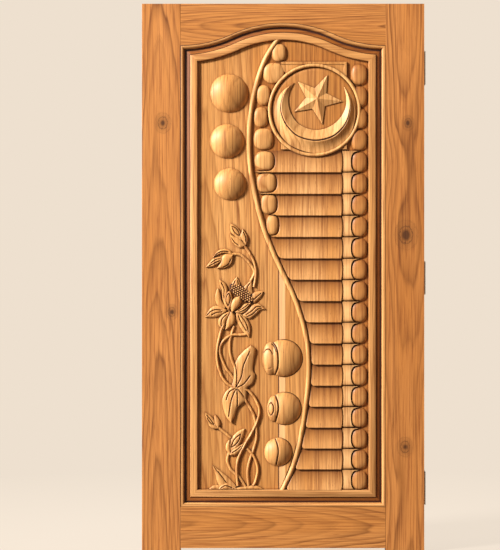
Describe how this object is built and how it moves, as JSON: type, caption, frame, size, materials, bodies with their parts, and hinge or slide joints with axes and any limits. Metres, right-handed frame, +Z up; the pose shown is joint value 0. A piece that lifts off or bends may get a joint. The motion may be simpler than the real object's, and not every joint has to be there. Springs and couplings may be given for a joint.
{
  "type": "carved door",
  "caption": "Wooden frame-and-panel door leaf with an arched top rail and a carved relief of lotus, domes, log courses, crescent and star, hung on butt hinges.",
  "frame": {"origin": "on the floor, midway between the leaf's edges and midway through its thickness", "axes": "+Z up, carved face towards -Y, hinges at +X"},
  "size_m": [1.075, 0.0725, 2.072],
  "materials": {
    "frame_wood": "satin",
    "moulding_wood": "satin",
    "panel_wood": "satin",
    "relief_wood": "satin",
    "hinge_steel": "satin"
  },
  "bodies": {
    "jamb_side": {"jamb_plate_low": "hinge_steel", "jamb_plate_middle": "hinge_steel", "jamb_plate_top": "hinge_steel", "hinge_pin_low": "hinge_steel", "hinge_pin_middle": "hinge_steel", "hinge_pin_top": "hinge_steel"},
    "leaf": {"left_stile": "frame_wood", "right_stile": "frame_wood", "top_rail": "frame_wood", "bottom_rail": "frame_wood", "edge_bead_left": "moulding_wood", "edge_bead_right": "moulding_wood", "edge_bead_bottom": "moulding_wood", "edge_bead_arch": "moulding_wood", "moulding_left": "moulding_wood", "moulding_right": "moulding_wood", "moulding_bottom": "moulding_wood", "moulding_arch": "moulding_wood", "panel": "panel_wood", "s_bead": "relief_wood", "log_wall": "relief_wood", "medallion_plate": "relief_wood", "medallion_disc": "relief_wood", "crescent": "relief_wood", "star": "relief_wood", "plain_dome_top": "relief_wood", "plain_dome_middle": "relief_wood", "plain_dome_low": "relief_wood", "grooved_dome_top": "relief_wood", "grooved_dome_middle": "relief_wood", "grooved_dome_low": "relief_wood", "lotus_spray": "relief_wood", "hinge_screws": "hinge_steel", "door_plate_low": "hinge_steel", "door_plate_middle": "hinge_steel", "door_plate_top": "hinge_steel"}
  },
  "joints": [
    {"name": "leaf_swing", "type": "hinge", "parent": "jamb_side", "child": "leaf", "pos_m": [0.535, 0.0295, 0], "axis": [0, 0, -1], "range_deg": [0, 110]}
  ]
}
